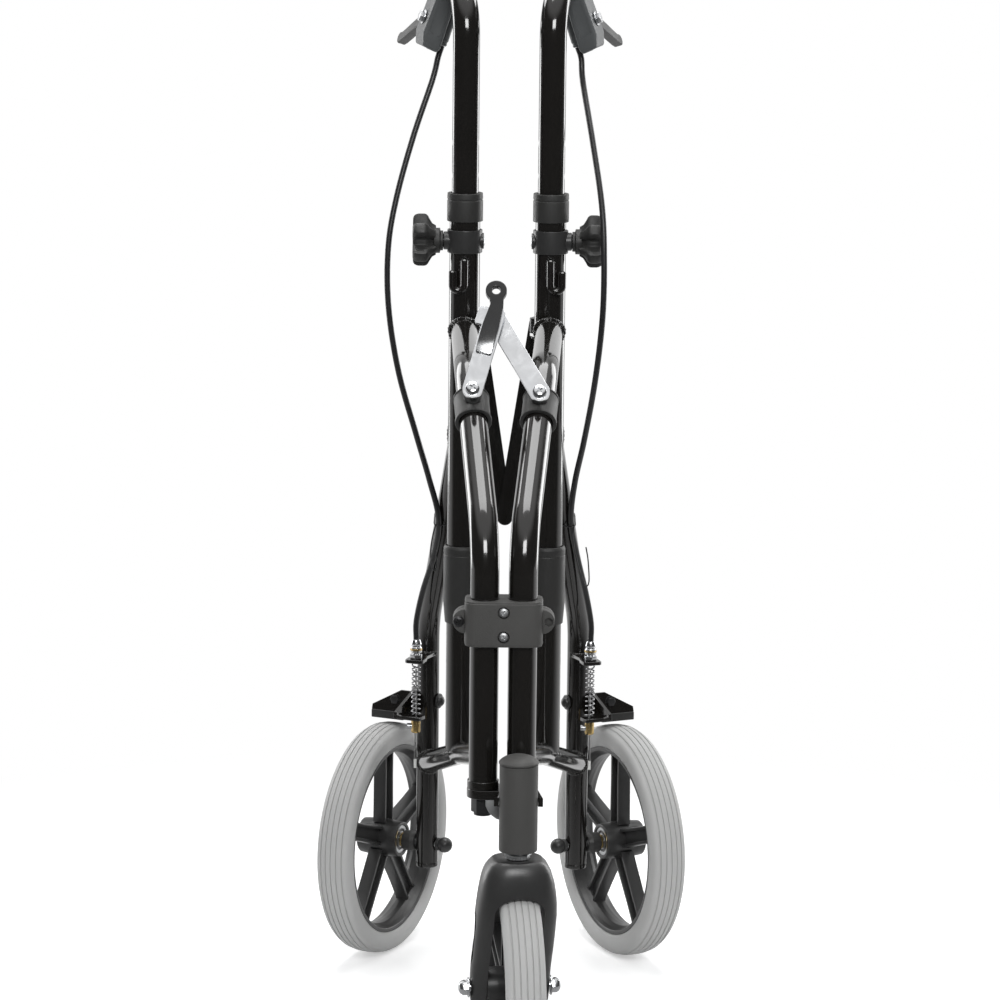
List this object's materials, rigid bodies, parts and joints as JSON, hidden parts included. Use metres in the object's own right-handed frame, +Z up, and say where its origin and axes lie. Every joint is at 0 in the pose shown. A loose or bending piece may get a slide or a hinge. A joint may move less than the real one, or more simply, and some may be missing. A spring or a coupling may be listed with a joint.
{
  "type": "three-wheel rollator",
  "caption": "Folding walking frame on wheels, with a swivelling front caster, height-adjustable handles, and cable brakes on the rear wheels, stored folded.",
  "frame": {"origin": "on the floor, at the middle of the overall width and length", "axes": "+Z up; +Y towards the user, behind the handles; +X towards the user's right hand"},
  "size_m": [0.3134, 0.6352, 0.8746],
  "materials": {
    "black_paint": "gloss",
    "black_plastic": "matt, fine grain",
    "grey_plastic": "satin",
    "zinc": "bright zinc plate",
    "brass": "plain",
    "grip_rubber": "matt",
    "tyre_rubber": "matt",
    "spring_steel": "blackened"
  },
  "bodies": {
    "frame_right": {"front_tube_right": "black_paint", "upright_right": "black_paint", "rear_leg_right": "black_paint", "lower_bar_right": "black_paint", "top_sleeve_right": "black_plastic", "clamp_ring_right": "black_plastic", "post_sleeve_right": "black_plastic", "link_saddle_right": "black_plastic", "axle_set_right": "zinc", "barrel_adjuster_right": "zinc", "brake_cable_right": "black_plastic", "brake_spring_right": "spring_steel", "hinge_block_front": "black_plastic", "hinge_block_rear": "black_plastic", "hinge_plate": "black_paint", "head_tube": "black_plastic"},
    "frame_left": {"front_tube_left": "black_paint", "upright_left": "black_paint", "rear_leg_left": "black_paint", "lower_bar_left": "black_paint", "top_sleeve_left": "black_plastic", "clamp_ring_left": "black_plastic", "post_sleeve_left": "black_plastic", "link_saddle_left": "black_plastic", "axle_set_left": "zinc", "barrel_adjuster_left": "zinc", "brake_cable_left": "black_plastic", "brake_spring_left": "spring_steel"},
    "link_swivel_right": {"link_screw_right": "zinc"},
    "link_right": {"fold_link_right": "zinc"},
    "stay_swivel_right": {"stay_bolt_right": "zinc"},
    "stay_right": {"fold_stay_right": "black_paint"},
    "handle_right": {"handle_tube_right": "black_paint", "grip_right": "grip_rubber", "lever_housing_right": "grey_plastic"},
    "lever_right": {"brake_lever_right": "black_plastic"},
    "knob_right": {"clamp_knob_right": "black_plastic"},
    "brake_right": {"brake_arm_right": "black_paint", "cable_anchor_right": "brass"},
    "wheel_right": {"wheel_rim_right": "black_plastic", "wheel_tyre_right": "tyre_rubber"},
    "link_swivel_left": {"link_screw_left": "zinc"},
    "link_left": {"fold_link_left": "zinc", "link_grip": "grip_rubber"},
    "stay_swivel_left": {"stay_bolt_left": "zinc"},
    "stay_left": {"fold_stay_left": "black_paint"},
    "handle_left": {"handle_tube_left": "black_paint", "grip_left": "grip_rubber", "lever_housing_left": "grey_plastic"},
    "lever_left": {"brake_lever_left": "black_plastic"},
    "knob_left": {"clamp_knob_left": "black_plastic"},
    "brake_left": {"brake_arm_left": "black_paint", "cable_anchor_left": "brass"},
    "wheel_left": {"wheel_rim_left": "black_plastic", "wheel_tyre_left": "tyre_rubber"},
    "caster": {"fork": "black_plastic", "fork_stem": "zinc", "front_axle": "zinc"},
    "front_wheel": {"front_rim": "black_plastic", "front_tyre": "tyre_rubber"}
  },
  "joints": [
    {"name": "frame_fold", "type": "hinge", "parent": "frame_right", "child": "frame_left", "pos_m": [-0.01465, -0.2245, 0.3], "axis": [0, 0, 1], "range_deg": [0, 52]},
    {"name": "link_swivel_right", "type": "hinge", "parent": "frame_right", "child": "link_swivel_right", "pos_m": [0.0262, -0.1181, 0.5505], "axis": [0, 0, 1], "range_deg": [0, 20.78]},
    {"name": "link_pivot_right", "type": "hinge", "parent": "link_swivel_right", "child": "link_right", "pos_m": [0.0262, -0.1181, 0.5505], "axis": [0, -0.8191, 0.5736], "range_deg": [0, 61.24]},
    {"name": "stay_swivel_right", "type": "hinge", "parent": "frame_right", "child": "stay_swivel_right", "pos_m": [0.025, 0.1045, 0.575], "axis": [0, 0, 1], "range_deg": [0, 23.8]},
    {"name": "stay_pivot_right", "type": "hinge", "parent": "stay_swivel_right", "child": "stay_right", "pos_m": [0.025, 0.1045, 0.575], "axis": [0, 1, 0], "range_deg": [0, 81.39]},
    {"name": "handle_height_right", "type": "slide", "parent": "frame_right", "child": "handle_right", "axis": [0, 0, 1], "range_m": [-0.081, 0.081], "deforming": ["brake_cable_right"]},
    {"name": "clamp_knob_right", "type": "hinge", "parent": "frame_right", "child": "knob_right", "pos_m": [0.0354, 0.0855, 0.6474], "axis": [1, 0, 0], "range_deg": [0, 720]},
    {"name": "brake_lever_right", "type": "hinge", "parent": "handle_right", "child": "lever_right", "pos_m": [0.06295, 0.1417, 0.82421], "axis": [0.9303, -0.1977, 0.309], "range_deg": [0, 16], "stiffness_Nm_per_rad": 0.14, "springref_deg": -31.51},
    {"name": "brake_arm_right", "type": "hinge", "parent": "frame_right", "child": "brake_right", "pos_m": [0.065, 0.2055, 0.23], "axis": [-0.9063, -0.4226, 0], "range_deg": [0, 5.5], "deforming": ["brake_spring_right"]},
    {"name": "wheel_spin_right", "type": "hinge", "parent": "frame_right", "child": "wheel_right", "pos_m": [0.10397, 0.22367, 0.1015], "axis": [0.9063, 0.4226, 0], "continuous": true},
    {"name": "link_swivel_left", "type": "hinge", "parent": "frame_left", "child": "link_swivel_left", "pos_m": [-0.0262, -0.1181, 0.5505], "axis": [0, 0, 1], "range_deg": [-31.24, 0]},
    {"name": "link_pivot_left", "type": "hinge", "parent": "link_swivel_left", "child": "link_left", "pos_m": [-0.0262, -0.1181, 0.5505], "axis": [0, 0.8191, -0.5736], "range_deg": [0, 75.5]},
    {"name": "stay_swivel_left", "type": "hinge", "parent": "frame_left", "child": "stay_swivel_left", "pos_m": [-0.025, 0.1045, 0.575], "axis": [0, 0, 1], "range_deg": [-28.22, 0]},
    {"name": "stay_pivot_left", "type": "hinge", "parent": "stay_swivel_left", "child": "stay_left", "pos_m": [-0.025, 0.1045, 0.575], "axis": [0, -1, 0], "range_deg": [0, 81.39]},
    {"name": "handle_height_left", "type": "slide", "parent": "frame_left", "child": "handle_left", "axis": [0, 0, 1], "range_m": [-0.081, 0.081], "deforming": ["brake_cable_left"]},
    {"name": "clamp_knob_left", "type": "hinge", "parent": "frame_left", "child": "knob_left", "pos_m": [-0.0354, 0.0855, 0.6474], "axis": [-1, 0, 0], "range_deg": [0, 720]},
    {"name": "brake_lever_left", "type": "hinge", "parent": "handle_left", "child": "lever_left", "pos_m": [-0.06295, 0.1417, 0.82421], "axis": [0.9303, 0.1977, -0.309], "range_deg": [0, 16], "stiffness_Nm_per_rad": 0.14, "springref_deg": -31.51},
    {"name": "brake_arm_left", "type": "hinge", "parent": "frame_left", "child": "brake_left", "pos_m": [-0.065, 0.2055, 0.23], "axis": [-0.9063, 0.4226, 0], "range_deg": [0, 5.5], "deforming": ["brake_spring_left"]},
    {"name": "wheel_spin_left", "type": "hinge", "parent": "frame_left", "child": "wheel_left", "pos_m": [-0.10397, 0.22367, 0.1015], "axis": [0.9063, -0.4226, 0], "continuous": true},
    {"name": "caster_swivel", "type": "hinge", "parent": "frame_right", "child": "caster", "pos_m": [0.0128, -0.2545, 0.25], "axis": [0, 0, 1], "continuous": true},
    {"name": "front_wheel_spin", "type": "hinge", "parent": "caster", "child": "front_wheel", "pos_m": [0.00751, -0.21687, 0.1015], "axis": [0.9903, 0.1392, 0], "continuous": true}
  ],
  "couplings": [
    {"joint": "link_swivel_right", "follows": "frame_fold", "ratio": 0.39947},
    {"joint": "link_pivot_right", "follows": "frame_fold", "ratio": 1.1775},
    {"joint": "stay_swivel_right", "follows": "frame_fold", "ratio": 0.45757},
    {"joint": "stay_pivot_right", "follows": "frame_fold", "ratio": 1.565},
    {"joint": "brake_arm_right", "follows": "brake_lever_right", "ratio": 0.34375},
    {"joint": "link_swivel_left", "follows": "frame_fold", "ratio": -0.60053},
    {"joint": "link_pivot_left", "follows": "frame_fold", "ratio": 1.4518},
    {"joint": "stay_swivel_left", "follows": "frame_fold", "ratio": -0.54243},
    {"joint": "stay_pivot_left", "follows": "frame_fold", "ratio": 1.565},
    {"joint": "brake_arm_left", "follows": "brake_lever_left", "ratio": 0.34375}
  ]
}
